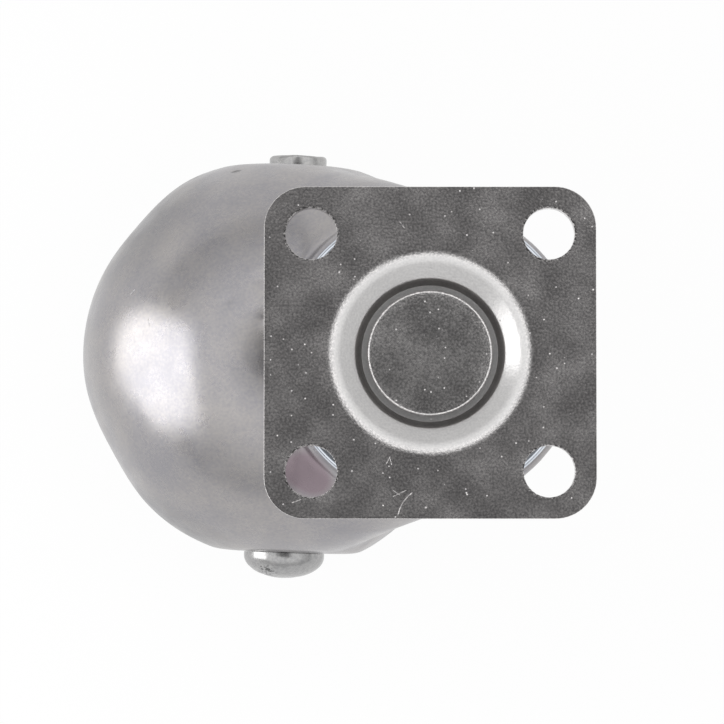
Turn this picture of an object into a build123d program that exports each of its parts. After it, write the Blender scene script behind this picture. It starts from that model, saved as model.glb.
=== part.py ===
"""Hooded ball caster with a square mounting plate. Millimetres, +Z up.

The origin is the middle of the plate's top face, on the swivel axis. The nose of the hood
points to -X, and the axle lies along Y but for the small angle that the hood is swung by.
"""

import os
from math import asin, cos, sin, sqrt

from build123d import *

os.makedirs("parts", exist_ok=True)

# Mounting plate
plate_side = 38.0
plate_thickness = 1.8
plate_corner_radius = 4.7
plate_edge_chamfer = 0.2
screw_hole_inset = 5.4
screw_hole_diameter = 5.9
screw_hole_chamfer = 0.2

# Dish pressed into the plate, and the pocket in it
dish_run = 3.1
dish_depth = 2.1
dish_bend_radius = 2.6
pocket_lip_run = 0.75
pocket_corner_bevel = 0.7

# Kingpin
kingpin_head_radius = 7.2
kingpin_head_chamfer = 0.25
kingpin_head_sink = 0.3
kingpin_radius = 4.5
kingpin_tenon_radius = 3.2
kingpin_peen_radius = 4.9
kingpin_peen_height = 1.1
kingpin_peen_chamfer = 0.7

# Ball race
ball_diameter = 3.175
ball_count = 9
cup_thickness = 1.0
cup_flange_width = 1.7
cup_flange_drop = 1.7
cup_corner_bevel = 0.7

# Hood
hood_radius = 24.6
hood_lead = 0.9
hood_thickness = 1.2
hood_crown_step = 0.3
hood_seat_flat = 1.0
boss_lead = 0.8
boss_band = 2.2
boss_edge_round = 1.5
neck_foot_depth = 24.0
rim_below_axle = 7.0
rear_skirt = 3.2
rear_edge_behind_axle = 10.5
rear_corner_round = 8.0
rim_corner_round = 3.0
swing = -2.0

# Axle
axle_offset = 16.5
rivet_radius = 3.0
rivet_head_radius = 4.9
rivet_head_side = 0.4
rivet_head_height = 3.1
rivet_peen_spread = 0.5
rivet_peen_height = 1.4
rivet_peen_chamfer = 0.35
axle_tube_wall = 1.0
axle_washer_radius = 6.0
axle_washer_thickness = 1.0

# Wheel
tread_half_width = 9.5
tread_thickness = 3.4
hub_radius = 6.0
core_drop = 0.6
pocket_count = 6
core_pocket_depth = 6.0
core_hub_wall = 2.0
core_pocket_width = 5.2
core_rib = 1.6
core_pocket_round = 0.8

# Retaining washer
retaining_washer_radius = 8.5
retaining_washer_thickness = 1.2
washer_edge_chamfer = 0.2

# Clearances
press_gap = 0.02
running_gap = 0.08
ball_gap = 0.05
seat_gap = 0.1
pocket_gap = 0.2
head_gap = 0.65
wheel_gap = 2.8
hub_gap = 0.3

# Radii, widths and levels that follow from the sizes above. The ring of balls has the radius
# at which each ball lies against both the plate's flat and the outside of its dish.
screw_hole_pitch = plate_side - 2 * screw_hole_inset
pocket_floor_radius = kingpin_head_radius + head_gap
dish_foot_radius = pocket_floor_radius + pocket_lip_run
dish_mouth_radius = dish_foot_radius + dish_run
ball_radius = ball_diameter / 2
ball_level = -plate_thickness - ball_radius - ball_gap
slope_length = sqrt(dish_run**2 + dish_depth**2)
race_reach = plate_thickness + ball_radius + ball_gap + ball_level * dish_run / slope_length
race_radius = dish_mouth_radius + race_reach * slope_length / dish_depth
cup_wall_radius = race_radius + ball_radius + ball_gap
cup_flange_radius = cup_wall_radius + cup_thickness + cup_flange_width
cup_base_top = ball_level - ball_radius - ball_gap
pocket_depth = -cup_base_top - pocket_gap - plate_thickness
boss_radius = cup_flange_radius + boss_lead
boss_level = cup_base_top - cup_thickness
crown_level = boss_level - hood_crown_step
hood_underside = boss_level - hood_thickness
washer_top = hood_underside - seat_gap
washer_bottom = washer_top - retaining_washer_thickness
seat_half_width = hood_radius - hood_seat_flat
tube_radius = rivet_radius + press_gap + axle_tube_wall
hub_half_length = seat_half_width - hood_thickness - press_gap - axle_washer_thickness - hub_gap
wheel_radius = hood_radius - hood_thickness - wheel_gap
axle_depth = hood_radius - crown_level
rim_level = -axle_depth - rim_below_axle
far_below = rim_level - hood_radius


def offset_line(points, distance):
    """The same open outline moved sideways, with mitred corners."""
    moved = []
    for index, point in enumerate(points):
        directions = []
        if index > 0:
            directions.append((Vector(*point) - Vector(*points[index - 1])).normalized())
        if index < len(points) - 1:
            directions.append((Vector(*points[index + 1]) - Vector(*point)).normalized())
        normals = [Vector(-d.Y, d.X) for d in directions]
        middle = sum(normals[1:], normals[0]).normalized()
        reach = distance / middle.dot(normals[0])
        moved.append((point[0] + middle.X * reach, point[1] + middle.Y * reach))
    return moved


def nearest_corner(section, point):
    """The corner of a flat section that lies nearest a point."""
    return section.vertices().sort_by_distance(Vector(*point))[0]


def pressed_sheet(points, thickness, bends, bevels):
    """Sheet turned about Z: an outline with its bends, and its offset with its bevels."""
    other = offset_line(points, thickness)
    section = make_face(Polyline(*points, *reversed(other), close=True))
    for index, radius in bends.items():
        section = fillet(nearest_corner(section, points[index]), radius)
    for index, size in bevels.items():
        section = chamfer(nearest_corner(section, other[index]), size)
    return revolve(Plane.XZ * section, Axis.Z)


def turned(points):
    """A solid of revolution about Z from a closed outline of (radius, level) points."""
    return revolve(Plane.XZ * make_face(Polyline(*points, close=True)), Axis.Z)


def across(shape):
    """Lays what was turned about Z along the axle, with its +Z end to +Y."""
    return Pos(-axle_offset, 0, -axle_depth) * Rot(X=-90) * shape


def swung(shape):
    """Turns a piece of the swivelling part to where the hood stands."""
    return shape.rotate(Axis.Z, swing)


def make_top_plate():
    """The square plate: flat, with a dish and a pocket for the kingpin head."""
    flat_edge = dish_mouth_radius + dish_bend_radius
    pin_hole = kingpin_radius + press_gap
    face_line = [
        (pin_hole, -pocket_depth),
        (pocket_floor_radius, -pocket_depth),
        (dish_foot_radius, -dish_depth),
        (dish_mouth_radius, 0),
        (flat_edge, 0),
    ]
    bends = {3: dish_bend_radius}
    bevels = {1: pocket_corner_bevel}
    dish = pressed_sheet(face_line, -plate_thickness, bends, bevels)
    flat = extrude(RectangleRounded(plate_side, plate_side, plate_corner_radius), -plate_thickness)
    flat = chamfer(flat.faces().sort_by(Axis.Z)[-1].outer_wire().edges(), plate_edge_chamfer)
    holes = GridLocations(screw_hole_pitch, screw_hole_pitch, 2, 2)
    flat -= extrude(Sketch() + holes * Circle(screw_hole_diameter / 2), -plate_thickness)
    flat = chamfer(flat.faces().sort_by(Axis.Z)[-1].inner_wires().edges(), screw_hole_chamfer)
    flat -= extrude(Circle(flat_edge), -plate_thickness)
    return flat + dish


def make_kingpin():
    """Flat-headed rivet: head, shank, tenon through the washer and a hammered end."""
    top = -kingpin_head_sink
    peen_foot = washer_bottom - kingpin_peen_height
    points = [
        (0, top),
        (kingpin_head_radius - kingpin_head_chamfer, top),
        (kingpin_head_radius, top - kingpin_head_chamfer),
        (kingpin_head_radius, -pocket_depth),
        (kingpin_radius, -pocket_depth),
        (kingpin_radius, washer_top),
        (kingpin_tenon_radius, washer_top),
        (kingpin_tenon_radius, washer_bottom),
        (kingpin_peen_radius, washer_bottom),
        (kingpin_peen_radius, peen_foot + kingpin_peen_chamfer),
        (kingpin_peen_radius - kingpin_peen_chamfer, peen_foot),
        (0, peen_foot),
    ]
    return turned(points)


def make_retaining_washer():
    """Plain washer that the kingpin's hammered end holds under the hood."""
    ring = Circle(retaining_washer_radius) - Circle(kingpin_tenon_radius + press_gap)
    washer = Pos(0, 0, washer_bottom) * extrude(ring, retaining_washer_thickness)
    rims = washer.edges().filter_by(GeomType.CIRCLE).sort_by(lambda e: e.radius)[-2:]
    return chamfer(rims, washer_edge_chamfer)


def make_race_cup():
    """Pressed cup under the balls: collar in the hood, wall round the balls, and a flange."""
    flange_top = -plate_thickness - cup_flange_drop
    bore = kingpin_radius + running_gap
    inner_line = [
        (bore, hood_underside + seat_gap / 2),
        (bore, cup_base_top),
        (cup_wall_radius, cup_base_top),
        (cup_wall_radius, flange_top),
        (cup_flange_radius, flange_top),
    ]
    return pressed_sheet(inner_line, -cup_thickness, {}, {2: cup_corner_bevel})


def make_race_ball(index):
    """One ball of the swivel race."""
    place = Rot(Z=360 * index / ball_count) * Pos(race_radius, 0, ball_level)
    return place * Sphere(ball_radius)


def dome(inset):
    """The hood's ball-shaped body and upright skirt, with a flat pressed in for each rivet end."""
    radius = hood_radius - inset
    crown = CenterArc((0, -axle_depth), radius, 0, 90)
    side = Polyline(crown @ 0, (radius, far_below), (0, far_below), crown @ 1)
    body = revolve(Plane.XZ * make_face([crown, side]), Axis.Z)
    between_seats = Box(4 * hood_radius, 2 * (seat_half_width - inset), 4 * hood_radius)
    body &= Pos(0, 0, -axle_depth) * between_seats
    return Pos(-axle_offset - hood_lead, 0, 0) * body


def neck(inset):
    """The flank that runs from the hood's round top down and forward onto the ball shape."""
    band_foot = Pos(0, 0, boss_level - boss_band) * Circle(boss_radius - inset)
    band = extrude(band_foot, boss_band - inset)
    if inset == 0:
        band = fillet(band.edges().sort_by(Axis.Z)[-1], boss_edge_round)
    foot_radius = sqrt((hood_radius - inset) ** 2 - (axle_depth - neck_foot_depth) ** 2)
    foot = Pos(-axle_offset - hood_lead, 0, -neck_foot_depth) * Circle(foot_radius)
    return band + loft([band_foot, foot])


def hood_trim():
    """What is trimmed off below the hood's rim and behind its slanting rear edges."""
    nose = -axle_offset - 2 * hood_radius
    ear = -axle_offset + rear_edge_behind_axle
    skirt_level = boss_level - rear_skirt
    behind = 2 * boss_radius
    path = FilletPolyline(
        (nose, rim_level),
        (ear, rim_level),
        (boss_radius - rim_corner_round, skirt_level),
        (behind, skirt_level),
        radius=[rear_corner_round, rim_corner_round],
    )
    low = 2 * far_below
    close = Polyline((behind, skirt_level), (behind, low), (nose, low), (nose, rim_level))
    side = Plane.XZ * make_face(path.edges() + close.edges())
    return extrude(side, 2 * hood_radius, both=True)


def make_hood():
    """One-piece pressed hood: dome, neck, round top, holes for the race and the axle."""
    shell = (dome(0) + neck(0)) - (dome(hood_thickness) + neck(hood_thickness))
    shell -= hood_trim()
    collar_hole = kingpin_radius + running_gap + cup_thickness + press_gap
    shell -= Cylinder(collar_hole, 4 * hood_thickness).move(Location((0, 0, boss_level)))
    shell -= across(Cylinder(rivet_radius + press_gap, 4 * hood_radius))
    return shell


def make_axle_rivet():
    """Rivet across the hood: domed head to -Y, hammered end to +Y."""
    seat = seat_half_width
    dome_rise = rivet_head_height - rivet_head_side
    dome_radius = (rivet_head_radius**2 + dome_rise**2) / (2 * dome_rise)
    half_angle = asin(rivet_head_radius / dome_radius) / 2
    dome_centre = -seat - rivet_head_height + dome_radius
    middle = (dome_radius * sin(half_angle), dome_centre - dome_radius * cos(half_angle))
    side_end = (rivet_head_radius, -seat - rivet_head_side)
    peen_top = seat + rivet_peen_height
    peen_radius = rivet_radius + rivet_peen_spread
    outline = [
        ThreePointArc((0, -seat - rivet_head_height), middle, side_end),
        Polyline(
            side_end,
            (rivet_head_radius, -seat),
            (rivet_radius, -seat),
            (rivet_radius, seat),
            (peen_radius, seat),
            (peen_radius, peen_top - rivet_peen_chamfer),
            (peen_radius - rivet_peen_chamfer, peen_top),
            (0, peen_top),
            (0, -seat - rivet_head_height),
        ),
    ]
    return across(revolve(Plane.XZ * make_face(outline), Axis.Z))


def make_axle_tube():
    """Spacer tube between the hood's walls."""
    ring = Circle(tube_radius) - Circle(rivet_radius + press_gap)
    length = 2 * (seat_half_width - hood_thickness)
    return across(extrude(ring, length / 2, both=True))


def make_axle_washer(side):
    """Plain washer between the hub and one wall of the hood."""
    ring = Circle(axle_washer_radius) - Circle(tube_radius + press_gap)
    outer_face = seat_half_width - hood_thickness - press_gap
    washer = extrude(ring, axle_washer_thickness)
    place = outer_face - axle_washer_thickness if side > 0 else -outer_face
    return across(Pos(0, 0, place) * washer)


def make_wheel_core():
    """Moulded core: ball-shaped sides, hub, seat for the tread and moulded pockets."""
    ball_r = wheel_radius - core_drop
    seat_r = wheel_radius - tread_thickness
    body = Sphere(ball_r) + Cylinder(hub_radius, 2 * hub_half_length)
    groove = Cylinder(wheel_radius, 2 * tread_half_width) - Cylinder(seat_r, 2 * tread_half_width)
    body -= groove
    body -= Cylinder(tube_radius + running_gap, 4 * hub_half_length)
    inner_r = hub_radius + core_hub_wall
    outer_r = inner_r + core_pocket_width
    middle_r = (inner_r + outer_r) / 2
    wedge = Circle(outer_r) - Circle(inner_r)
    ribs = Sketch() + PolarLocations(middle_r, pocket_count) * Rectangle(middle_r, core_rib)
    pocket_faces = (wedge - ribs).faces()
    top = sqrt(ball_r**2 - inner_r**2)
    for face in pocket_faces:
        pocket_face = fillet(face.vertices(), core_pocket_round)
        cut = Pos(0, 0, top - core_pocket_depth) * extrude(pocket_face, 2 * core_pocket_depth)
        body -= cut
        body -= mirror(cut, Plane.XY)
    return across(body)


def make_wheel_tread():
    """Soft tread: crowned like the ball, seated between the core's shoulders."""
    seat_r = wheel_radius - tread_thickness + press_gap
    half = tread_half_width - press_gap
    edge_r = sqrt(wheel_radius**2 - half**2)
    outline = [
        ThreePointArc((edge_r, -half), (wheel_radius, 0), (edge_r, half)),
        Polyline((edge_r, half), (seat_r, half), (seat_r, -half), (edge_r, -half)),
    ]
    return across(revolve(Plane.XZ * make_face(outline), Axis.Z))


def main():
    pieces = {
        "top_plate": make_top_plate(),
        "kingpin": make_kingpin(),
        "retaining_washer": make_retaining_washer(),
        "race_cup": swung(make_race_cup()),
        "hood": swung(make_hood()),
        "axle_rivet": swung(make_axle_rivet()),
        "axle_tube": swung(make_axle_tube()),
        "axle_washer_near": swung(make_axle_washer(-1)),
        "axle_washer_far": swung(make_axle_washer(1)),
        "wheel_core": swung(make_wheel_core()),
        "wheel_tread": swung(make_wheel_tread()),
    }
    for index in range(ball_count):
        pieces[f"race_ball_{index + 1:02d}"] = swung(make_race_ball(index))
    for name, piece in pieces.items():
        export_step(piece, f"parts/{name}.step")


main()
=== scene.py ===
"""Finish and studio for a hooded ball caster: plate, hood, rivet, race and wheel.

Everything is in metres in the frame of the solids: the origin is the middle of the plate's top
face, +Z is up, and the nose of the hood points to -X. Sizes below are in millimetres and angles
in degrees.
"""

from math import atan2, cos, degrees, exp, pi, radians, sin, tan

import bmesh
import bpy
from mathutils import Matrix, Vector, noise


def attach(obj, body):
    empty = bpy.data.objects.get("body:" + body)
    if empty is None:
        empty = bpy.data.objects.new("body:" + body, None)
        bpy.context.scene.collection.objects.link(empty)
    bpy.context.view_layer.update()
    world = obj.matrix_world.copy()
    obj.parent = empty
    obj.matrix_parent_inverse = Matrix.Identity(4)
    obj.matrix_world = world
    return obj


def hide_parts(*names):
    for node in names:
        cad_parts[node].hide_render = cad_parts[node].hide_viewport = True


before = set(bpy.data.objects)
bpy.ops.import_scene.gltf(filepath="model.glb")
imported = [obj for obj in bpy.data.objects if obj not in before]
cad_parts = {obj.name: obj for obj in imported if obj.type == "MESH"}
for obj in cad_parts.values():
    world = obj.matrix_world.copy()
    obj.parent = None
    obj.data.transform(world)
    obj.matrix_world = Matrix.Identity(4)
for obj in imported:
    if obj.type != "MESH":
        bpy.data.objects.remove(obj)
bpy.ops.object.select_all(action="DESELECT")
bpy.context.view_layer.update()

MM = 0.001
weld = 1e-6  # points nearer to each other than this, in metres, are one point

# Steps round a circle, for wide, middling and small round forms
wide_round = 192
middle_round = 128
small_round = 96

# Camera, as the photograph was taken: from above, a little towards the near side
photo_side_px = 724
camera_distance = 430.0
camera_tilt = 2.6
camera_target = (-7.8, -1.1)
photo_focal_px = 3764.0
sensor_width = 36.0

# Plate
plate_side = 38.0
plate_thickness = 1.8
plate_corner_radius = 4.7
plate_corner_steps = 16
plate_edge_round = 0.26
plate_ring_width = 0.6
screw_hole_pitch = 27.2
screw_hole_radius = 2.95
dish_mouth_radius = 11.0
dish_foot_radius = 8.6
dish_depth = 1.8
dish_bend_radius = 3.0
dish_foot_round = 0.6
pocket_floor_radius = 7.85
pocket_depth = 3.075
pin_hole_radius = 4.52
flat_edge_radius = 14.3

# Kingpin
kingpin_head_radius = 7.2
kingpin_head_level = -1.2
kingpin_head_crown = 0.08
kingpin_head_round = 0.28
kingpin_crown_steps = 8
kingpin_radius = 4.5
kingpin_tenon_radius = 3.2
kingpin_washer_top = -7.375
kingpin_washer_foot = -8.575
kingpin_peen_radius = 4.9
kingpin_peen_foot = -9.675
kingpin_peen_taper = 0.2
kingpin_peen_round = 0.5
kingpin_peen_rings = (3.0, 1.5, 0)
kingpin_peen_dents = 0.12

# Race cup
cup_bore_radius = 4.58
cup_base_level = -5.075
cup_wall_radius = 14.39
cup_flange_level = -3.5
cup_flange_radius = 17.09
cup_thickness = 1.0
cup_base_chamfer = 0.7
cup_foot_level = -7.225

# Hood
hood_radius = 24.6
hood_centre_x = -17.4
hood_thickness = 1.2
hood_swing = -2.0
boss_level = -6.075
boss_radius = 17.89
boss_band = 2.2
boss_edge_round = 1.5
neck_foot_radius = 23.59
neck_foot_level = -24.0
seat_half_width = 23.6
seat_blend = 0.5
rim_level = -37.975
ear_x = -6.0
rear_skirt_level = -9.275
rear_skirt_x = 14.89
rear_corner_round = 8.0
rim_corner_round = 3.0
collar_hole_radius = 5.6
trim_allowance = 4.0
cutter_reach = 40.0
cheek_depth = 0.5
cheek_angle = 192
cheek_spread = 30
cheek_tilts = (20, 66)

# The hood's skin: its mesh, its uneven lumps, and where its side stands in from a true round
skin_voxel = 0.45
skin_smoothing = 14
skin_weld = 2e-6
lump_sizes = (9.0, 4.5)
lump_depth = 0.05
side_start = 16.0
side_fade = 8.0
band_margin = 3.0
band_fade = 6.0
side_areas = (  # (angle in degrees, spread in degrees, depth)
    (210, 17, 0.78),
    (141, 13, 0.35),
    (120, 12, -0.25),
    (265, 12, 0.1),
    (290, 14, -0.85),
    (57, 18, -0.5),
)

# Axle
axle_x = -16.5
axle_level = -30.975
rivet_radius = 3.0
rivet_head_radius = 4.9
rivet_head_side = 0.4
rivet_head_height = 3.1
rivet_peen_radius = 3.5
rivet_peen_height = 1.4
rivet_peen_round = 0.35
rivet_peen_rings = (2.4, 1.6, 0.8, 0)

# Marks on the plate: one curved scratch as (centre, radius, facing, half turn, width), short
# scratches as (centre, turn, half sizes) and small nicks as (centre, radius)
plate_arc_scratch = ((0.25, -19.3, 0), 4.0, 147, 24, 0.045)
plate_scars = (
    ((-3.5, -16.1, 0), 25, (0.9, 0.035, 1)),
    ((-3.9, -16.0, 0), -35, (0.5, 0.035, 1)),
    ((-4.8, -12.3, 0), 62, (0.5, 0.045, 1)),
    ((-4.5, -12.5, 0), 104, (0.4, 0.04, 1)),
    ((-15.3, -17.0, 0), 20, (0.6, 0.04, 1)),
    ((-3.2, 14.6, 0), -52, (0.5, 0.04, 1)),
)
plate_nicks = (
    ((-8.94, -13.55, 0), 0.22),
    ((-0.5, -17.7, 0), 0.22),
    ((-10.4, 9.2, 0), 0.18),
)
hairline_turns = (-38, 24, 71)

# Radii between which marks fade: about the swivel axis, and round each screw hole
# The head's rim and the pocket are darkened between these radii with painted shade
head_rim_fade = (7.08, 7.2)
pocket_shade_fade = (8.3, 8.55)
slope_fade = (10.9, 11.9)
burr_fade = (3.1, 3.3)

# Marks on the hood and the rivet: dents as (centre, radius), scratches and the nick as (centre,
# turn, half sizes), painted shade, painted reflection and the pitting as (centre, radius, soft
# edge)
hood_dents = (
    ((-19.6, 8.9, -8.0), 2.0),
    ((-19.2, 4.2, -6.9), 1.7),
    ((-23.4, 6.4, -8.0), 1.5),
)
hood_scars = (
    ((-35.0, 7.9, -16.0), 45, (0.5, 0.05, 1.5)),
    ((-35.7, 6.2, -15.9), 3, (0.7, 0.045, 1.5)),
    ((-32.9, 4.2, -12.4), 100, (0.6, 0.045, 1.5)),
)
hood_nick = ((-22.85, 22.3, -22.2), 8, (0.95, 1.0, 0.6))
# Patches of painted shade: the hood's colour is darkened on its flanks towards the nose
hood_painted_shade_areas = (
    ((-33.7, 16.8, -23.5), 3.0, 8.0),
    ((-30.0, -20.8, -28.5), 3.0, 7.0),
)
# Painted reflection: a purple-brown tint on the hood beside the boss
hood_painted_reflection = ((-15.0, -14.8, -8.5), 3.2, 1.2)
rivet_pitting = ((-19.4, -25.5, -28.3), 1.0, 1.2)

# Colours of marks, of the painted reflection and of the floor
slope_colour = (0.64, 0.635, 0.63)
scratch_colour = (0.6, 0.6, 0.6)
painted_reflection_colour = (0.27, 0.21, 0.24)
floor_grey = 0.85

# Studio floor: its side in metres, and how much of what is seen of it is its own glow
floor_side = 6
floor_level = -51.575
floor_gap = 0.02
floor_glow_share = 0.95

# Surroundings: brightness by the height of the direction, from level (0) to straight up (1)
sky_levels = (
    (0.0, 1.0),
    (0.05, 1.0),
    (0.08, 0.62),
    (0.35, 0.78),
    (0.6, 1.1),
    (0.87, 1.3),
    (0.925, 1.0),
    (0.955, 0.45),
    (0.99, 0.14),
)


def pick(piece):
    """Selects one piece alone and makes it the active one."""
    bpy.ops.object.select_all(action="DESELECT")
    bpy.context.view_layer.objects.active = piece
    piece.select_set(True)


def begin_edit(piece):
    """Goes into edit mode on one piece with nothing selected."""
    pick(piece)
    bpy.ops.object.mode_set(mode="EDIT")
    bpy.ops.mesh.select_all(action="DESELECT")


def end_edit():
    """Leaves edit mode with nothing selected."""
    bpy.ops.object.mode_set(mode="OBJECT")
    bpy.ops.object.select_all(action="DESELECT")


def select_where(piece, kind, wanted):
    """Selects the vertices, edges or faces of a piece in edit mode for which wanted(item) holds."""
    modes = {"verts": "VERT", "edges": "EDGE", "faces": "FACE"}
    bpy.ops.mesh.select_mode(type=modes[kind])
    bpy.ops.mesh.select_all(action="DESELECT")
    mesh = bmesh.from_edit_mesh(piece.data)
    for item in getattr(mesh, kind):
        if wanted(item):
            item.select_set(True)
    bmesh.update_edit_mesh(piece.data)


def drawn_loop(name, points):
    """A closed loop of edges through points given in millimetres."""
    bpy.ops.mesh.primitive_circle_add(vertices=len(points), radius=MM, fill_type="NOTHING")
    piece = bpy.context.object
    piece.name = name
    for vertex, point in zip(piece.data.vertices, points):
        vertex.co = Vector(point) * MM
    return piece


def merge_points(threshold=weld):
    """In edit mode, merges all points that lie together."""
    bpy.ops.mesh.select_all(action="SELECT")
    bpy.ops.mesh.remove_doubles(threshold=threshold)


def turn_round(steps):
    """In edit mode, turns a line once round the Z axis and closes the seam."""
    bpy.ops.mesh.select_all(action="SELECT")
    bpy.ops.mesh.spin(steps=steps, angle=2 * pi, center=(0, 0, 0), axis=(0, 0, 1))
    merge_points()


def spun(name, outline, steps):
    """A body turned about Z from a closed outline of (radius, level) points."""
    piece = drawn_loop(name, [(radius, 0, level) for radius, level in outline])
    begin_edit(piece)
    turn_round(steps)
    bpy.ops.mesh.delete_loose()
    bpy.ops.mesh.select_all(action="SELECT")
    bpy.ops.mesh.normals_make_consistent(inside=False)
    end_edit()
    return piece


def arc(centre, radius, start, end, count):
    """Points along an arc, angles in degrees from the first axis."""
    points = []
    for step in range(count + 1):
        angle = radians(start + (end - start) * step / count)
        points.append((centre[0] + radius * cos(angle), centre[1] + radius * sin(angle)))
    return points


def apply_modifier(piece, kind, **settings):
    """Adds a modifier with its settings and applies it."""
    pick(piece)
    modifier = piece.modifiers.new(kind.title(), kind)
    for key, value in settings.items():
        setattr(modifier, key, value)
    bpy.ops.object.modifier_apply(modifier=modifier.name)
    bpy.ops.object.select_all(action="DESELECT")


def remove(piece):
    """Takes a helper shape out of the scene."""
    bpy.data.objects.remove(piece, do_unlink=True)


def turn_piece(piece, degrees_about_z):
    """Turns a finished mesh about the swivel axis."""
    piece.data.transform(Matrix.Rotation(radians(degrees_about_z), 4, "Z"))


def smooth_by_angle(piece, degrees_between):
    """Shades a piece smooth, apart from edges sharper than an angle."""
    pick(piece)
    bpy.ops.object.shade_smooth_by_angle(angle=radians(degrees_between))
    bpy.ops.object.select_all(action="DESELECT")


def hood_dome_outline():
    """The dome's section as (radius, level): a quarter of a ball on an upright skirt."""
    foot = rim_level - trim_allowance
    return arc((0, axle_level), hood_radius, 90, 0, 40) + [(hood_radius, foot), (0, foot)]


def make_neck():
    """Round band of the boss, with its edge rounded, and the flank down into the dome."""
    bpy.ops.mesh.primitive_cylinder_add(
        vertices=wide_round,
        radius=boss_radius * MM,
        depth=boss_band * MM,
        location=(0, 0, (boss_level - boss_band / 2) * MM),
    )
    neck = bpy.context.object
    bpy.ops.object.transform_apply(location=True)
    top = boss_level * MM
    begin_edit(neck)
    select_where(neck, "edges", lambda edge: all(abs(v.co.z - top) < weld for v in edge.verts))
    bpy.ops.mesh.bevel(offset=boss_edge_round * MM, segments=6, affect="EDGES")
    foot = (boss_level - boss_band) * MM
    select_where(neck, "faces", lambda face: abs(face.calc_center_median().z - foot) < weld)
    drop = neck_foot_level - (boss_level - boss_band)
    step = (hood_centre_x * MM, 0, drop * MM)
    bpy.ops.mesh.extrude_region_move(TRANSFORM_OT_translate={"value": step})
    growth = neck_foot_radius / boss_radius
    bpy.ops.transform.resize(
        value=(growth, growth, 1),
        center_override=(hood_centre_x * MM, 0, neck_foot_level * MM),
    )
    end_edit()
    return neck


def hood_trim_outline():
    """The (x, level) outline of what is cut off below the rim and behind the rear edges."""
    slant = Vector((rear_skirt_x - ear_x, rear_skirt_level - rim_level))
    lean = degrees(atan2(slant.y, slant.x))
    reach = rear_corner_round * tan(radians(lean / 2))
    ear_centre = (ear_x - reach, rim_level + rear_corner_round)
    ear = arc(ear_centre, rear_corner_round, -90, lean - 90, 10)
    reach = rim_corner_round * tan(radians(lean / 2))
    skirt_centre = (rear_skirt_x + reach, rear_skirt_level - rim_corner_round)
    skirt = arc(skirt_centre, rim_corner_round, lean + 90, 90, 6)
    # Well past the hood on every side
    front, rear, low = -2 * cutter_reach, 1.5 * cutter_reach, rim_level - cutter_reach
    box = [(rear, rear_skirt_level), (rear, low), (front, low)]
    return [(front, rim_level)] + ear + skirt + box


def side_relief(angle):
    """How far the dome's side stands in from a true round, by the angle about its axis."""
    return sum(
        depth * exp(-(((angle - middle) / spread) ** 2)) for middle, spread, depth in side_areas
    )


def cheek_relief(angle, tilt):
    """How far the flattened cheek at the nose stands in, by angle and by tilt from the crown."""
    along = (tilt - cheek_tilts[0]) / (cheek_tilts[1] - cheek_tilts[0])
    if along < 0 or along > 1:
        return 0.0
    across = exp(-(((angle - cheek_angle) / cheek_spread) ** 2))
    return cheek_depth * 0.5 * (1 - cos(2 * pi * along)) * across


def press_irregular(piece):
    """Moves the dome's skin by small amounts, as uneven pressing left it."""
    seat = seat_half_width * MM
    middle = Vector((hood_centre_x, 0, axle_level)) * MM
    for vertex in piece.data.vertices:
        spoke = vertex.co - middle
        reach = Vector((spoke.x, spoke.y, 0)).length
        if reach < 10 * weld:  # on the axis, where no way is outward
            continue
        angle = degrees(atan2(spoke.y, spoke.x)) % 360
        tilt = degrees(atan2(reach, max(spoke.z, 0)))
        side = min(1.0, max(0.0, (reach / MM - side_start) / side_fade))
        side = side * side * (3 - 2 * side)
        below_boss = min(1.0, max(0.0, (boss_level - band_margin - vertex.co.z / MM) / band_fade))
        coarse, fine = (noise.noise(vertex.co / (size * MM)) for size in lump_sizes)
        lump = coarse + 0.5 * fine
        outward = Vector((spoke.x, spoke.y, 0)) / reach
        inward = side_relief(angle) * side * below_boss + lump_depth * (1 + lump) * side
        vertex.co -= outward * inward * MM
        vertex.co -= spoke.normalized() * cheek_relief(angle, tilt) * MM
        vertex.co.z -= lump_depth * MM * (1 + lump) * (1 - side)
        # The flat seats of the rivet, blended softly into the dome
        over = abs(vertex.co.y) - (seat - seat_blend * MM)
        if over > 0:
            level = seat - seat_blend * MM * exp(-over / (seat_blend * MM))
            vertex.co.y = level if vertex.co.y > 0 else -level


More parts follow.
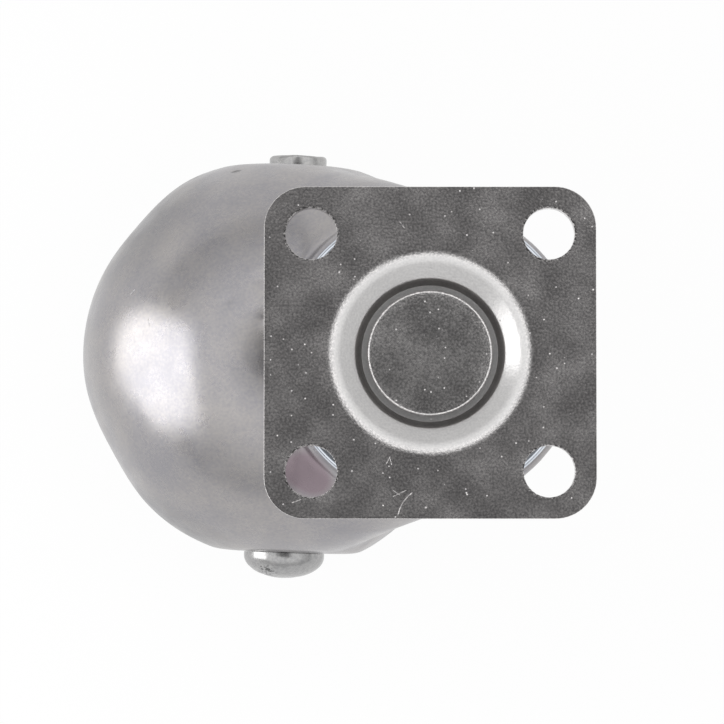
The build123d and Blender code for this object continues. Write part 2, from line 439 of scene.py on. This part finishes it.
def make_hood():
    """The pressed hood: one skin with its dome, neck and boss, trimmed, pierced and thickened."""
    skin = spun("hood_skin", hood_dome_outline(), wide_round)
    skin.data.transform(Matrix.Translation((hood_centre_x * MM, 0, 0)))
    neck = make_neck()
    apply_modifier(skin, "BOOLEAN", operation="UNION", object=neck, solver="EXACT")
    remove(neck)
    apply_modifier(skin, "REMESH", mode="VOXEL", voxel_size=skin_voxel * MM, use_smooth_shade=True)
    apply_modifier(skin, "SMOOTH", factor=0.5, iterations=skin_smoothing)
    press_irregular(skin)

    # The cutters' material marks the faces that the cuts leave, which are then deleted
    mark = bpy.data.materials.new("cut_mark")
    skin.data.materials.append(bpy.data.materials.new("skin_mark"))
    trim = drawn_loop("hood_trim", [(x, -cutter_reach, level) for x, level in hood_trim_outline()])
    begin_edit(trim)
    bpy.ops.mesh.select_all(action="SELECT")
    bpy.ops.mesh.edge_face_add()
    across = (0, 2 * cutter_reach * MM, 0)
    bpy.ops.mesh.extrude_region_move(TRANSFORM_OT_translate={"value": across})
    bpy.ops.mesh.select_all(action="SELECT")
    bpy.ops.mesh.normals_make_consistent(inside=False)
    end_edit()
    bpy.ops.mesh.primitive_cylinder_add(
        vertices=middle_round,
        radius=collar_hole_radius * MM,
        depth=cutter_reach / 2 * MM,
        location=(0, 0, boss_level * MM),
    )
    collar = bpy.context.object
    bpy.ops.mesh.primitive_cylinder_add(
        vertices=small_round,
        radius=rivet_radius * MM,
        depth=2 * cutter_reach * MM,
        location=(axle_x * MM, 0, axle_level * MM),
        rotation=(pi / 2, 0, 0),
    )
    bore = bpy.context.object
    for cutter in (trim, collar, bore):
        cutter.data.materials.append(mark)
        apply_modifier(
            skin,
            "BOOLEAN",
            operation="DIFFERENCE",
            object=cutter,
            solver="EXACT",
            material_mode="TRANSFER",
        )
        remove(cutter)
    marks = [index for index, slot in enumerate(skin.material_slots) if slot.material == mark]
    begin_edit(skin)
    select_where(skin, "faces", lambda face: face.material_index in marks)
    bpy.ops.mesh.delete(type="FACE")
    merge_points(skin_weld)
    bpy.ops.mesh.delete_loose()
    end_edit()
    skin.data.materials.clear()
    apply_modifier(skin, "SOLIDIFY", thickness=hood_thickness * MM, offset=-1, use_even_offset=True)
    turn_piece(skin, hood_swing)
    smooth_by_angle(skin, 35)
    skin.name = "hood_pressing"
    return skin


def rounded_square(side, radius, count):
    """Points round a square with rounded corners, in the plane of the plate's face."""
    points = []
    inner = side / 2 - radius
    for turn in range(4):
        angle = 90 * turn
        x = inner if turn in (0, 3) else -inner
        y = inner if turn in (0, 1) else -inner
        points += arc((x, y), radius, angle, angle + 90, count)
    return [(x, y, 0) for x, y in points]


def rounded_corner(before, corner, after, radius, count):
    """Points along the arc that rounds one corner of an outline, touching both its sides."""
    back = (Vector(before) - Vector(corner)).normalized()
    on = (Vector(after) - Vector(corner)).normalized()
    half = back.angle(on) / 2
    reach = radius / tan(half)
    centre = Vector(corner) + (back + on).normalized() * radius / sin(half)
    start = Vector(corner) + back * reach - centre
    turn = pi - 2 * half
    if start.cross(on) < 0:
        turn = -turn
    points = []
    for step in range(count + 1):
        spoke = start.copy()
        spoke.rotate(Matrix.Rotation(turn * step / count, 2))
        points.append(tuple(centre + spoke))
    return points


def add_ring(piece, scale):
    """Draws a second loop inside or outside a round or square loop, with faces between them."""
    begin_edit(piece)
    bpy.ops.mesh.select_all(action="SELECT")
    bpy.ops.mesh.extrude_edges_move()
    bpy.ops.transform.resize(value=(scale, scale, 1), center_override=(0, 0, 0))
    end_edit()


def make_hole_rings():
    """The four screw holes, each a loop with a ring of faces round it."""
    bpy.ops.mesh.primitive_circle_add(vertices=small_round, radius=screw_hole_radius * MM)
    hole = bpy.context.object
    add_ring(hole, 1 + plate_ring_width / screw_hole_radius)
    half_pitch = screw_hole_pitch / 2 * MM
    holes = [hole]
    for x, y in ((-1, -1), (-1, 1), (1, -1)):
        copy = hole.copy()
        copy.data = hole.data.copy()
        bpy.context.collection.objects.link(copy)
        copy.location = (x * half_pitch, y * half_pitch, 0)
        holes.append(copy)
    hole.location = (half_pitch, half_pitch, 0)
    return holes


def make_dish_face():
    """The face of the dish and its pocket, turned about the swivel axis from an open line."""
    flat_start = (flat_edge_radius, 0)
    mouth = (dish_mouth_radius, 0)
    foot = (dish_foot_radius, -dish_depth)
    pocket = (pocket_floor_radius, -pocket_depth)
    pin = (pin_hole_radius, -pocket_depth)
    face_line = [flat_start]
    face_line += rounded_corner(flat_start, mouth, foot, dish_bend_radius, 12)
    face_line += rounded_corner(mouth, foot, pocket, dish_foot_round, 6)
    face_line += [pocket, pin]
    dish = drawn_loop("dish", [(radius, 0, level) for radius, level in face_line])
    begin_edit(dish)
    # The loop's long closing edge isn't part of the line
    closing = (flat_edge_radius - dish_mouth_radius) * 2 * MM
    select_where(dish, "edges", lambda edge: edge.calc_length() > closing)
    bpy.ops.mesh.delete(type="EDGE")
    turn_round(wide_round)
    end_edit()
    return dish


def borders_flat(edge):
    """True on the loops that bound the plate's plain flat at its edge, the holes and the dish."""
    if len(edge.link_faces) != 1:
        return False
    half_ring = plate_ring_width * MM / 2
    middle = (edge.verts[0].co + edge.verts[1].co) / 2
    inside = max(abs(middle.x), abs(middle.y)) < plate_side / 2 * MM - half_ring
    half_pitch = screw_hole_pitch / 2 * MM
    from_hole = Vector((abs(middle.x) - half_pitch, abs(middle.y) - half_pitch))
    off_hole = from_hole.length > screw_hole_radius * MM + half_ring
    corner = (plate_side / 2 - plate_corner_radius) * MM
    from_corner = Vector((abs(middle.x) - corner, abs(middle.y) - corner))
    if min(from_corner) > 0 and from_corner.length > plate_corner_radius * MM - half_ring:
        inside = False
    return inside and off_hole and middle.z > -weld


def make_plate():
    """The mounting plate: flat with four holes, spun dish and pocket, all edges rounded."""
    outline = rounded_square(plate_side, plate_corner_radius, plate_corner_steps)
    sheet = drawn_loop("plate_pressing", outline)
    add_ring(sheet, 1 - 2 * plate_ring_width / plate_side)
    parts = [sheet, *make_hole_rings(), make_dish_face()]
    bpy.ops.object.select_all(action="DESELECT")
    for part in parts:
        part.select_set(True)
    bpy.context.view_layer.objects.active = sheet
    bpy.ops.object.join()
    begin_edit(sheet)
    select_where(sheet, "edges", borders_flat)
    bpy.ops.mesh.fill(use_beauty=True)
    merge_points()
    bpy.ops.mesh.normals_make_consistent(inside=False)
    end_edit()
    if sheet.data.polygons[0].normal.z < 0:
        sheet.data.flip_normals()
    apply_modifier(
        sheet, "SOLIDIFY", thickness=plate_thickness * MM, offset=-1, use_even_offset=True
    )
    apply_modifier(
        sheet,
        "BEVEL",
        width=plate_edge_round * MM,
        segments=4,
        limit_method="ANGLE",
        angle_limit=radians(35),
        harden_normals=True,
    )
    return sheet


def make_kingpin():
    """The kingpin: wide flat head with a rounded rim, shank, tenon and hammered lower end."""
    rim = kingpin_head_radius - kingpin_head_round
    rim_top = kingpin_head_level - kingpin_head_crown
    outline = [(0, kingpin_head_level)]
    for step in range(1, kingpin_crown_steps + 1):
        share = step / kingpin_crown_steps
        outline.append((rim * share, kingpin_head_level - kingpin_head_crown * share**2))
    outline += arc((rim, rim_top - kingpin_head_round), kingpin_head_round, 75, 0, 5)
    outline += [
        (kingpin_head_radius, -pocket_depth),
        (kingpin_radius, -pocket_depth),
        (kingpin_radius, kingpin_washer_top),
        (kingpin_tenon_radius, kingpin_washer_top),
        (kingpin_tenon_radius, kingpin_washer_foot),
        (kingpin_peen_radius - kingpin_peen_taper, kingpin_washer_foot),
    ]
    edge = kingpin_peen_round
    outline += arc((kingpin_peen_radius - edge, kingpin_peen_foot + edge), edge, 0, -90, 5)
    outline += [(radius, kingpin_peen_foot) for radius in kingpin_peen_rings]
    pin = spun("kingpin_rivet", outline, middle_round)
    for vertex in pin.data.vertices:
        place = vertex.co / MM
        if place.z < kingpin_peen_foot + 0.4:
            vertex.co.z += MM * kingpin_peen_dents * (1 + noise.noise(place * 0.6))
    smooth_by_angle(pin, 40)
    return pin


def make_cup():
    """The race cup: collar, base, wall and a flange with a rounded lip."""
    lip = cup_thickness / 2
    lip_centre = (cup_flange_radius - lip, cup_flange_level - lip)
    outline = [
        (cup_bore_radius, cup_foot_level),
        (cup_bore_radius, cup_base_level),
        (cup_wall_radius, cup_base_level),
        (cup_wall_radius, cup_flange_level),
    ]
    outline += arc(lip_centre, lip, 90, -90, 10)
    outline += [
        (cup_wall_radius + cup_thickness, cup_flange_level - cup_thickness),
        (cup_wall_radius + cup_thickness, cup_base_level - cup_thickness + cup_base_chamfer),
        (cup_wall_radius + cup_thickness - cup_base_chamfer, cup_base_level - cup_thickness),
        (cup_bore_radius + cup_thickness, cup_base_level - cup_thickness),
        (cup_bore_radius + cup_thickness, cup_foot_level),
    ]
    cup = spun("race_cup_pressing", outline, wide_round)
    turn_piece(cup, hood_swing)
    smooth_by_angle(cup, 30)
    return cup


def make_rivet():
    """The axle rivet: slightly uneven domed head on the near side, hammered end on the far side."""
    rise = rivet_head_height - rivet_head_side
    shoulder = -seat_half_width - rivet_head_side
    top = seat_half_width + rivet_peen_height
    steps = 24
    quarter = [pi / 2 * step / steps for step in range(steps + 1)]
    head = [(rivet_head_radius * sin(turn), shoulder - rise * cos(turn)) for turn in quarter]
    outline = head + [
        (rivet_head_radius, -seat_half_width),
        (rivet_radius, -seat_half_width),
        (rivet_radius, seat_half_width),
        (rivet_peen_radius, seat_half_width),
    ]
    edge = rivet_peen_round
    outline += arc((rivet_peen_radius - edge, top - edge), edge, 0, 90, 4)
    outline += [(radius, top) for radius in rivet_peen_rings]
    rivet = spun("rivet", outline, small_round)
    head_waver, peen_sink, peen_dents, peen_tilt, peen_waver = 0.004, 0.12, 0.2, 0.03, 0.03
    for vertex in rivet.data.vertices:
        place = vertex.co / MM
        if place.z < shoulder - 0.1:
            vertex.co *= 1 - head_waver * max(0, noise.noise(place * 0.9))
        if place.z > seat_half_width + 0.3:
            dent = peen_dents * noise.noise(place * 0.45)
            vertex.co.z -= MM * (peen_sink + dent - peen_tilt * place.x)
            vertex.co.x *= 1 - peen_waver * max(0, noise.noise(place * 0.8))
    rivet.data.transform(Matrix.Rotation(radians(-90), 4, "X"))
    rivet.data.transform(Matrix.Translation((axle_x * MM, 0, axle_level * MM)))
    turn_piece(rivet, hood_swing)
    smooth_by_angle(rivet, 40)
    return rivet


class Finish:
    """A procedural finish, built up from patterns that sit on the piece itself."""

    def __init__(self, name, metallic, roughness):
        self.material = bpy.data.materials.new(name)
        self.material.use_nodes = True
        self.nodes = self.material.node_tree.nodes
        self.links = self.material.node_tree.links
        self.shader = self.nodes["Principled BSDF"]
        self.shader.inputs["Metallic"].default_value = metallic
        self.shader.inputs["Roughness"].default_value = roughness
        self.object_place = self.nodes.new("ShaderNodeTexCoord").outputs["Object"]

    def placed(self, centre=(0, 0, 0), turn=0, stretch=(1, 1, 1)):
        """Object coordinates about a centre in millimetres, turned about Z and then stretched."""
        moved = self.nodes.new("ShaderNodeMapping")
        moved.inputs["Location"].default_value = [-part * MM for part in centre]
        self.links.new(self.object_place, moved.inputs["Vector"])
        turned = self.nodes.new("ShaderNodeMapping")
        turned.inputs["Rotation"].default_value = (0, 0, radians(-turn))
        self.links.new(moved.outputs["Vector"], turned.inputs["Vector"])
        stretched = self.nodes.new("ShaderNodeMapping")
        stretched.inputs["Scale"].default_value = stretch
        self.links.new(turned.outputs["Vector"], stretched.inputs["Vector"])
        return stretched.outputs["Vector"]

    def clouds(self, size, detail=2, place=None):
        """Soft noise whose lumps are about a size in millimetres."""
        noise_node = self.nodes.new("ShaderNodeTexNoise")
        noise_node.inputs["Scale"].default_value = 1 / (size * MM)
        noise_node.inputs["Detail"].default_value = detail
        self.links.new(place or self.object_place, noise_node.inputs["Vector"])
        return noise_node.outputs["Fac"]

    def math(self, operation, first, second=None):
        """One step of arithmetic on patterns or numbers."""
        node = self.nodes.new("ShaderNodeMath")
        node.operation = operation
        for index, value in enumerate((first, second)):
            if isinstance(value, (int, float)):
                node.inputs[index].default_value = value
            elif value is not None:
                self.links.new(value, node.inputs[index])
        return node.outputs[0]

    def sum_of_shares(self, first, share, second, other_share):
        """Two patterns added up, each by its share."""
        part = self.math("MULTIPLY", first, share)
        return self.math("ADD", part, self.math("MULTIPLY", second, other_share))

    def remap(self, value, span, to):
        """The value carried from one span onto another and held at both ends."""
        node = self.nodes.new("ShaderNodeMapRange")
        for name, number in zip(("From Min", "From Max", "To Min", "To Max"), (*span, *to)):
            node.inputs[name].default_value = number
        self.links.new(value, node.inputs["Value"])
        return node.outputs["Result"]

    def fade(self, distance, radii, to):
        """A distance carried from between two radii, in millimetres, onto another span."""
        return self.remap(distance, [radius * MM for radius in radii], to)

    def distance(self, place):
        """How far a place is from the centre it was set about."""
        node = self.nodes.new("ShaderNodeVectorMath")
        node.operation = "LENGTH"
        self.links.new(place, node.inputs[0])
        return node.outputs["Value"]

    def pits(self, spacing, share, size):
        """Scattered round marks: 1 in a mark and 0 outside, on a share of the grid's cells."""
        cells = self.nodes.new("ShaderNodeTexVoronoi")
        cells.inputs["Scale"].default_value = 1 / (spacing * MM)
        self.links.new(self.object_place, cells.inputs["Vector"])
        split = self.nodes.new("ShaderNodeSeparateColor")
        self.links.new(cells.outputs["Color"], split.inputs["Color"])
        chosen = self.math("LESS_THAN", split.outputs["Red"], share)
        mark = self.remap(cells.outputs["Distance"], (0, size / spacing), (1, 0))
        return self.math("MULTIPLY", chosen, mark)

    def dent(self, centre, radius):
        """One round dent: 1 at its centre, 0 from its radius on."""
        near = self.fade(self.distance(self.placed(centre)), (0, radius), (1, 0))
        return self.math("MULTIPLY", near, near)

    def patch(self, centre, radius, soft):
        """A round patch: 1 inside it, fading to 0 over a soft edge."""
        return self.fade(self.distance(self.placed(centre)), (radius, radius + soft), (1, 0))

    def scar(self, centre, turn, reach):
        """A short straight mark: 1 inside a long thin ellipsoid of these half sizes, 0 outside."""
        place = self.placed(centre, turn, [1 / (part * MM) for part in reach])
        return self.remap(self.distance(place), (0.5, 1), (1, 0))

    def curved_scratch(self, centre, radius, facing, half_turn, width):
        """A scratch along an arc about a centre, on the side that faces an angle."""
        place = self.placed(centre, facing)
        off_arc = self.math("ABSOLUTE", self.math("SUBTRACT", self.distance(place), radius * MM))
        line = self.fade(off_arc, (0, width), (1, 0))
        split = self.nodes.new("ShaderNodeSeparateXYZ")
        self.links.new(place, split.inputs["Vector"])
        ends = radius * cos(radians(half_turn))
        full = 1.6
        return self.math("MULTIPLY", line, self.fade(split.outputs["X"], (ends, radius), (0, full)))

    def all_of(self, marks):
        """Marks laid over each other."""
        total = marks[0]
        for mark in marks[1:]:
            total = self.math("MAXIMUM", total, mark)
        return total

    def colour(self, value, span, dark, light):
        """A colour that goes from dark to light over a span of a pattern."""
        ramp = self.nodes.new("ShaderNodeValToRGB")
        for stop, position, shade in zip(ramp.color_ramp.elements, span, (dark, light)):
            stop.position = position
            stop.color = (*shade, 1)
        self.links.new(value, ramp.inputs["Fac"])
        return ramp.outputs["Color"]

    def shaded(self, colour, mark, amount, shade=(0, 0, 0)):
        """The colour changed towards a shade where a mark is, by an amount."""
        node = self.nodes.new("ShaderNodeMix")
        node.data_type = "RGBA"
        self.links.new(self.math("MULTIPLY", mark, amount), node.inputs[0])
        self.links.new(colour, node.inputs[6])
        node.inputs[7].default_value = (*shade, 1)
        return node.outputs[2]

    def bump(self, height, depth, before=None, inward=False):
        """Relief of a depth in millimetres, on top of the relief before it."""
        node = self.nodes.new("ShaderNodeBump")
        node.invert = inward
        node.inputs["Strength"].default_value = 1.0
        node.inputs["Distance"].default_value = depth * MM
        self.links.new(height, node.inputs["Height"])
        if before is not None:
            self.links.new(before, node.inputs["Normal"])
        return node.outputs["Normal"]

    def wear(self, colour, roughness, normal):
        """Gives the patterns to the shader; returns the material."""
        for name, value in (("Base Color", colour), ("Roughness", roughness), ("Normal", normal)):
            self.links.new(value, self.shader.inputs[name])
        return self.material


def zinc_plated(name, dark, light, turned):
    """Bright zinc on steel, mottled and pitted: turned, or rolled and pressed with scratches."""
    finish = Finish(name, metallic=1.0, roughness=0.17)
    mottle = finish.clouds(size=5.0, detail=5)
    fine = finish.clouds(size=0.26, detail=4)
    both = finish.sum_of_shares(mottle, 0.2, fine, 0.8)
    colour = finish.colour(both, (0.38, 0.62), dark, light)
    roughness = finish.remap(mottle, (0.35, 0.65), to=(0.13, 0.21))
    normal = finish.bump(fine, depth=0.02)
    normal = finish.bump(finish.clouds(size=1.6), 0.006, normal)
    specks = finish.pits(spacing=0.8, share=0.3, size=0.09)
    normal = finish.bump(specks, 0.035, normal, inward=True)
    from_axis = finish.distance(finish.placed(stretch=(1, 1, 0)))
    if turned:
        rings = finish.nodes.new("ShaderNodeTexWave")
        rings.wave_type = "RINGS"
        rings.rings_direction = "Z"
        rings.inputs["Scale"].default_value = 300
        rings.inputs["Distortion"].default_value = 6.0
        rings.inputs["Detail"].default_value = 3.0
        finish.links.new(finish.object_place, rings.inputs["Vector"])
        relief = finish.math("MULTIPLY", rings.outputs["Fac"], mottle)
        normal = finish.bump(relief, 0.008, normal)
        # Painted shade: the head's rim, down in the gap of the pocket, is darkened
        painted_recess_shade = finish.fade(from_axis, head_rim_fade, to=(0, 1))
    else:
        # Folding the plate onto its first quarter brings all four holes to one place
        fold = finish.nodes.new("ShaderNodeVectorMath")
        fold.operation = "ABSOLUTE"
        finish.links.new(finish.placed(stretch=(1, 1, 0)), fold.inputs[0])
        about_hole = finish.nodes.new("ShaderNodeVectorMath")
        about_hole.operation = "DISTANCE"
        half_pitch = screw_hole_pitch / 2 * MM
        about_hole.inputs[1].default_value = (half_pitch, half_pitch, 0)
        finish.links.new(fold.outputs["Vector"], about_hole.inputs[0])
        edge = finish.fade(about_hole.outputs["Value"], burr_fade, to=(1, 0))
        broken = finish.remap(finish.clouds(size=0.35, detail=3), (0.44, 0.56), to=(0, 1))
        burr = finish.math("MULTIPLY", edge, broken)
        colour = finish.shaded(colour, burr, amount=0.7)
        normal = finish.bump(burr, 0.01, normal, inward=True)
        hairlines = []
        for turn in hairline_turns:
            drawn_out = finish.placed(turn=turn, stretch=(130, 5200, 800))
            streaks = finish.clouds(size=1000.0, detail=1, place=drawn_out)
            hairlines.append(finish.remap(streaks, (0.79, 0.84), to=(0, 1)))
        normal = finish.bump(finish.all_of(hairlines), 0.004, normal, inward=True)
        marks = [finish.curved_scratch(*plate_arc_scratch)]
        marks += [finish.scar(*scar) for scar in plate_scars]
        marks += [finish.dent(*nick) for nick in plate_nicks]
        normal = finish.bump(finish.all_of(marks), 0.03, normal, inward=True)
        # The dish's slope is duller and more even than the flat
        slope = finish.fade(from_axis, slope_fade, to=(1, 0))
        colour = finish.shaded(colour, slope, 0.8, slope_colour)
        roughness = finish.math("MAXIMUM", roughness, finish.math("MULTIPLY", slope, 0.3))
        # Painted shade: the pocket and everything inside it are darkened
        painted_recess_shade = finish.fade(from_axis, pocket_shade_fade, to=(1, 0))
    return finish.wear(finish.shaded(colour, painted_recess_shade, amount=0.25), roughness, normal)


def satin_plated(name, cool, warm, roughness, marks):
    """Satin plating on steel: cool and warm patches, faint drawing lines and then its own marks."""
    finish = Finish(name, metallic=1.0, roughness=roughness)
    broad = finish.clouds(size=7.0, detail=5)
    tone = finish.sum_of_shares(broad, 0.55, finish.clouds(size=0.35, detail=4), 0.45)
    colour = finish.colour(tone, (0.38, 0.62), cool, warm)
    smears = finish.clouds(size=2.2, detail=5)
    gloss = finish.remap(smears, (0.3, 0.7), to=(roughness - 0.04, roughness + 0.05))
    drawn_out = finish.placed(turn=28, stretch=(260, 1500, 600))
    normal = finish.bump(finish.clouds(size=1000.0, detail=3, place=drawn_out), 0.008)
    normal = finish.bump(finish.clouds(size=0.22), 0.006, normal)
    normal = finish.bump(finish.clouds(size=4.0), 0.016, normal)
    specks = finish.pits(spacing=2.2, share=0.25, size=0.14)
    normal = finish.bump(specks, 0.02, normal, inward=True)
    colour, normal = marks(finish, colour, normal)
    return finish.wear(colour, gloss, normal)


def hood_marks(finish, colour, normal):
    """The hood's soft dents, thin scratches, dark nick, painted shade patches and painted
    reflection.
    """
    hollows = finish.all_of([finish.dent(*dent) for dent in hood_dents])
    normal = finish.bump(hollows, 0.1, normal, inward=True)
    scars = finish.all_of([finish.scar(*scar) for scar in hood_scars])
    normal = finish.bump(scars, 0.04, normal, inward=True)
    colour = finish.shaded(colour, scars, 0.5, scratch_colour)
    nick = finish.scar(*hood_nick)
    normal = finish.bump(nick, 0.1, normal, inward=True)
    colour = finish.shaded(colour, nick, amount=0.85)
    # Painted shade: the hood is darkened in two patches on its flanks
    for area in hood_painted_shade_areas:
        colour = finish.shaded(colour, finish.patch(*area), amount=0.32)
    # Painted reflection: the hood is tinted purple-brown beside the boss, under a screw hole of the
    # plate
    return finish.shaded(colour, finish.patch(*hood_painted_reflection), 0.85, painted_reflection_colour), normal


def rivet_marks(finish, colour, normal):
    """A few dark pits on one side of the rivet's head."""
    specks = finish.remap(finish.clouds(size=0.4), (0.54, 0.6), to=(0, 1))
    pitted = finish.math("MULTIPLY", finish.patch(*rivet_pitting), specks)
    colour = finish.shaded(colour, pitted, amount=0.7)
    return colour, finish.bump(pitted, 0.03, normal, inward=True)


def bright_zinc(name, dark, light, roughness):
    """Smooth bright metal with a slight change of shade, as on the race cup and the balls."""
    finish = Finish(name, metallic=1.0, roughness=roughness)
    colour = finish.colour(finish.clouds(size=4.0, detail=3), (0.35, 0.65), dark, light)
    smears = finish.clouds(size=1.2, detail=3)
    gloss = finish.remap(smears, (0.3, 0.7), to=(roughness - 0.03, roughness + 0.05))
    normal = finish.bump(finish.clouds(size=0.6), 0.004)
    return finish.wear(colour, gloss, normal)


def moulded(name, dark, light, roughness, grain):
    """Moulded plastic or rubber: a fine matt grain, a few scuffs and a slight change of shade."""
    finish = Finish(name, metallic=0.0, roughness=roughness)
    colour = finish.colour(finish.clouds(size=5.0, detail=4), (0.35, 0.65), dark, light)
    scuffs = finish.clouds(size=1.1, detail=5)
    gloss = finish.remap(scuffs, (0.5, 0.75), to=(roughness - 0.06, roughness + 0.12))
    normal = finish.bump(finish.clouds(size=0.18, detail=3), grain)
    return finish.wear(colour, gloss, normal)


def dress(piece, material):
    """Gives a piece one material in place of any other."""
    piece.data.materials.clear()
    piece.data.materials.append(material)


def make_floor():
    """A pale floor that renders white, and keeps the object's shadow."""
    height = (floor_level - floor_gap) * MM
    bpy.ops.mesh.primitive_plane_add(size=floor_side, location=(0, 0, height))
    floor = bpy.context.object
    floor.name = "floor"
    material = bpy.data.materials.new("pale_floor")
    material.use_nodes = True
    nodes = material.node_tree.nodes
    links = material.node_tree.links
    nodes.clear()
    out = nodes.new("ShaderNodeOutputMaterial")
    matt = nodes.new("ShaderNodeBsdfDiffuse")
    matt.inputs["Color"].default_value = (floor_grey, floor_grey, floor_grey, 1)
    glow = nodes.new("ShaderNodeEmission")
    glow.inputs["Strength"].default_value = 1.0
    # Seen by the camera or in a reflection, the floor is mostly glow; what is left keeps the shadow
    path = nodes.new("ShaderNodeLightPath")
    seen = path.outputs["Is Camera Ray"]
    for ray in ("Is Glossy Ray", "Is Transmission Ray"):
        either = nodes.new("ShaderNodeMath")
        either.operation = "MAXIMUM"
        links.new(seen, either.inputs[0])
        links.new(path.outputs[ray], either.inputs[1])
        seen = either.outputs[0]
    part = nodes.new("ShaderNodeMath")
    part.operation = "MULTIPLY"
    part.inputs[1].default_value = floor_glow_share
    links.new(seen, part.inputs[0])
    mix = nodes.new("ShaderNodeMixShader")
    links.new(part.outputs[0], mix.inputs["Fac"])
    links.new(matt.outputs[0], mix.inputs[1])
    links.new(glow.outputs[0], mix.inputs[2])
    links.new(mix.outputs[0], out.inputs["Surface"])
    dress(floor, material)


def make_world():
    """Studio surroundings: white at the floor's far edge, light at the sides, dark overhead."""
    world = bpy.data.worlds.new("studio")
    bpy.context.scene.world = world
    world.use_nodes = True
    nodes = world.node_tree.nodes
    links = world.node_tree.links
    nodes.clear()
    out = nodes.new("ShaderNodeOutputWorld")
    back = nodes.new("ShaderNodeBackground")
    place = nodes.new("ShaderNodeTexCoord")
    split = nodes.new("ShaderNodeSeparateXYZ")
    links.new(place.outputs["Generated"], split.inputs["Vector"])
    ramp = nodes.new("ShaderNodeValToRGB")
    stops = ramp.color_ramp.elements
    stops[0].position, stops[1].position = sky_levels[0][0], sky_levels[-1][0]
    for height, _ in sky_levels[1:-1]:
        stops.new(height)
    for stop, (_, level) in zip(stops, sky_levels):
        stop.color = (level, level, level, 1)
    links.new(split.outputs["Z"], ramp.inputs["Fac"])
    links.new(ramp.outputs["Color"], back.inputs["Color"])
    links.new(back.outputs[0], out.inputs["Surface"])


def add_softbox(name, azimuth, foot, head, width, radiance):
    """A leaning soft light: foot and head are the (distance, level) of its lower and upper edges.

    One of its sides lies in the upright plane of the azimuth, and the light reaches on from there.
    """
    around = radians(azimuth)
    outward = Vector((cos(around), sin(around), 0))
    across = Vector((-sin(around), cos(around), 0))
    low, high = (outward * distance + Vector((0, 0, level)) for distance, level in (foot, head))
    up = (high - low).normalized()
    lamp = bpy.data.lights.new(name, "AREA")
    lamp.shape = "RECTANGLE"
    lamp.size = width * MM
    lamp.size_y = (high - low).length * MM
    lamp.energy = radiance * lamp.size * lamp.size_y * pi
    stand = bpy.data.objects.new(name, lamp)
    bpy.context.collection.objects.link(stand)
    middle = Vector((hood_centre_x, 0, 0)) + (low + high) / 2 + across * width / 2
    stand.location = middle * MM
    stand.rotation_euler = Matrix((across, up, across.cross(up))).transposed().to_euler()


def add_camera():
    """The photograph's view: nearly straight down, from the near side by a small tilt."""
    tilt = radians(camera_tilt)
    target = Vector((camera_target[0] * MM, camera_target[1] * MM, 0))
    away = Vector((0, -sin(tilt), cos(tilt)))
    data = bpy.data.cameras.new("view")
    data.sensor_width = sensor_width
    data.lens = photo_focal_px / photo_side_px * sensor_width
    data.clip_start = 0.01
    view = bpy.data.objects.new("view", data)
    bpy.context.collection.objects.link(view)
    view.location = target + away * camera_distance * MM
    view.rotation_euler = (tilt, 0, 0)
    bpy.context.scene.camera = view


plated = zinc_plated("bright_zinc_sheet", (0.46, 0.445, 0.45), (0.89, 0.86, 0.85), False)
turned_zinc = zinc_plated("bright_zinc_turned", (0.45, 0.44, 0.44), (0.88, 0.855, 0.845), True)
satin = satin_plated(
    "satin_hood_plating", (0.315, 0.308, 0.326), (0.4, 0.382, 0.376), 0.28, hood_marks
)
stud = satin_plated(
    "satin_rivet_plating", (0.31, 0.31, 0.315), (0.45, 0.445, 0.44), 0.24, rivet_marks
)
zinc = bright_zinc("bluish_zinc_steel", (0.6, 0.64, 0.7), (0.68, 0.72, 0.78), 0.13)
polished = bright_zinc("polished_ball_steel", (0.55, 0.55, 0.55), (0.65, 0.65, 0.65), 0.12)
core_plastic = moulded(
    "moulded_core_plastic", (0.04, 0.04, 0.042), (0.055, 0.055, 0.057), 0.45, grain=0.012
)
tread_rubber = moulded(
    "soft_tread_rubber", (0.022, 0.022, 0.022), (0.034, 0.034, 0.034), 0.62, grain=0.03
)

finishes = {
    "top_plate": plated,
    "kingpin": turned_zinc,
    "retaining_washer": plated,
    "race_cup": zinc,
    "hood": satin,
    "axle_rivet": stud,
    "axle_tube": plated,
    "axle_washer_near": plated,
    "axle_washer_far": plated,
    "wheel_core": core_plastic,
    "wheel_tread": tread_rubber,
}
for node_name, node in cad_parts.items():
    dress(node, finishes.get(node_name, polished))

hood = make_hood()
dress(hood, satin)
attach(hood, "swivel")
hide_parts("hood")

plate = make_plate()
dress(plate, plated)
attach(plate, "plate")
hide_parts("top_plate")

pin = make_kingpin()
dress(pin, turned_zinc)
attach(pin, "plate")
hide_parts("kingpin")

cup = make_cup()
dress(cup, zinc)
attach(cup, "swivel")
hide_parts("race_cup")

rivet = make_rivet()
dress(rivet, stud)
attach(rivet, "swivel")
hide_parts("axle_rivet")

make_world()
add_softbox(
    "left_softbox", azimuth=165, foot=(200, -50), head=(104, 55), width=137, radiance=2.25
)
make_floor()
add_camera()
bpy.context.scene.view_settings.view_transform = "Standard"
